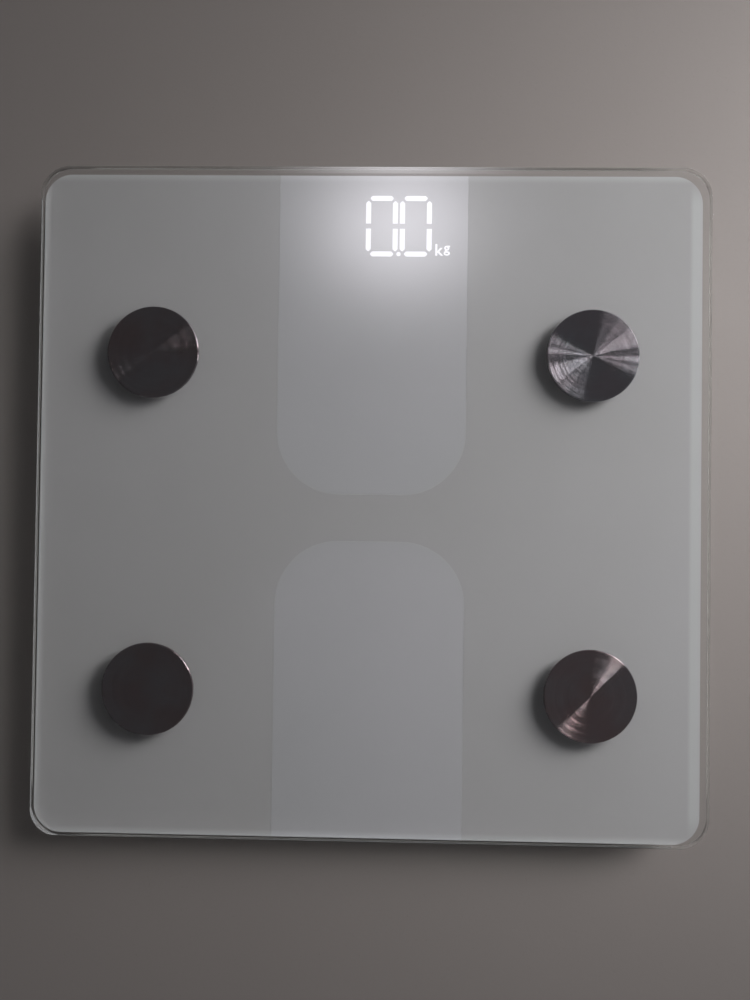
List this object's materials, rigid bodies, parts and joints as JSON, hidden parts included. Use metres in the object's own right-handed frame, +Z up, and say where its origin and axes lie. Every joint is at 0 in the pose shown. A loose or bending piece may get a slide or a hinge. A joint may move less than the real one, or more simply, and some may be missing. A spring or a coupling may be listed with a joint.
{
  "type": "bathroom scale",
  "caption": "Square glass-topped digital body scale on load cell feet, with steel foot contacts, a lit white readout under the glass and a battery box underneath.",
  "frame": {"origin": "on the floor, under the middle of the glass platform", "axes": "+Z up, +Y towards the readout, +X to the right of a person who stands on it and reads it"},
  "size_m": [0.3, 0.3, 0.026],
  "materials": {
    "clear_glass": "clear, polished edge",
    "white_print": "fired white coat seen through glass",
    "arch_print": "fired pale lilac grey coat seen through glass",
    "turned_steel": "turned face, bright bevel",
    "adhesive": "clear to milky adhesive",
    "tinned_brass": "tinned",
    "nut_steel": "bright zinc",
    "white_foam": "closed cell foam",
    "base_plastic": "fine spark texture",
    "cell_steel": "nickel plated spring steel",
    "sealant": "silicone",
    "retainer_plastic": "fine spark texture",
    "screw_steel": "zinc",
    "carrier_plastic": "smooth",
    "pad_rubber": "matt",
    "board_laminate": "solder resist",
    "light_box_plastic": "white reflector",
    "diffuser": "frosted film",
    "led_resin": "phosphor resin",
    "chip_epoxy": "moulded epoxy",
    "connector_plastic": "nylon",
    "switch_black": "nylon",
    "button_plastic": "smooth",
    "battery_jacket": "printed sleeve, steel ends",
    "spring_steel": "nickel plated",
    "door_plastic": "fine spark texture",
    "cell_lead_jacket": "flexible jacket",
    "contact_lead_jacket": "flexible jacket",
    "battery_lead_jacket": "flexible jacket"
  },
  "bodies": {
    "base": {"glass_platform": "clear_glass", "white_print": "white_print", "rear_arch_print": "arch_print", "front_arch_print": "arch_print", "contact_tape": "adhesive", "contact_terminals": "tinned_brass", "contact_nuts": "nut_steel", "bonding_tape": "white_foam", "foam_pads": "white_foam", "base_shell": "base_plastic", "base_ribs": "base_plastic", "gauge_sealant": "sealant", "retainer_screws": "screw_steel", "circuit_board": "board_laminate", "board_screws": "screw_steel", "display_light_box": "light_box_plastic", "diffuser_film": "diffuser", "display_leds": "led_resin", "board_chips": "chip_epoxy", "board_connectors": "connector_plastic", "switch_body": "switch_black", "contact_plates": "spring_steel", "contact_springs": "spring_steel", "battery_leads": "battery_lead_jacket", "contact_rear_left": "turned_steel", "load_cell_rear_left": "cell_steel", "cell_retainer_rear_left": "retainer_plastic", "cell_lead_rear_left": "cell_lead_jacket", "contact_lead_rear_left": "contact_lead_jacket", "contact_rear_right": "turned_steel", "load_cell_rear_right": "cell_steel", "cell_retainer_rear_right": "retainer_plastic", "cell_lead_rear_right": "cell_lead_jacket", "contact_lead_rear_right": "contact_lead_jacket", "contact_front_left": "turned_steel", "load_cell_front_left": "cell_steel", "cell_retainer_front_left": "retainer_plastic", "cell_lead_front_left": "cell_lead_jacket", "contact_lead_front_left": "contact_lead_jacket", "contact_front_right": "turned_steel", "load_cell_front_right": "cell_steel", "cell_retainer_front_right": "retainer_plastic", "cell_lead_front_right": "cell_lead_jacket", "contact_lead_front_right": "contact_lead_jacket", "battery_cell_1": "battery_jacket", "battery_cell_2": "battery_jacket", "battery_cell_3": "battery_jacket", "battery_cell_4": "battery_jacket"},
    "foot_rear_left": {"foot_carrier_rear_left": "carrier_plastic", "foot_pad_rear_left": "pad_rubber"},
    "foot_rear_right": {"foot_carrier_rear_right": "carrier_plastic", "foot_pad_rear_right": "pad_rubber"},
    "foot_front_left": {"foot_carrier_front_left": "carrier_plastic", "foot_pad_front_left": "pad_rubber"},
    "foot_front_right": {"foot_carrier_front_right": "carrier_plastic", "foot_pad_front_right": "pad_rubber"},
    "battery_door": {"battery_door": "door_plastic"},
    "unit_button": {"unit_button": "button_plastic", "switch_plunger": "switch_black"}
  },
  "joints": [
    {"name": "foot_rear_left_slide", "type": "slide", "parent": "base", "child": "foot_rear_left", "axis": [0, 0, 1], "range_m": [-0.0008, 0]},
    {"name": "foot_rear_right_slide", "type": "slide", "parent": "base", "child": "foot_rear_right", "axis": [0, 0, 1], "range_m": [-0.0008, 0]},
    {"name": "foot_front_left_slide", "type": "slide", "parent": "base", "child": "foot_front_left", "axis": [0, 0, 1], "range_m": [-0.0008, 0]},
    {"name": "foot_front_right_slide", "type": "slide", "parent": "base", "child": "foot_front_right", "axis": [0, 0, 1], "range_m": [-0.0008, 0]},
    {"name": "battery_door_hinge", "type": "hinge", "parent": "base", "child": "battery_door", "pos_m": [0, -0.0295, 0.005], "axis": [-1, 0, 0], "range_deg": [0, 90]},
    {"name": "unit_button_press", "type": "slide", "parent": "base", "child": "unit_button", "axis": [0, 0, 1], "range_m": [0, 0.0005], "stiffness_N_per_m": 3000, "springref_m": -0.0001}
  ]
}
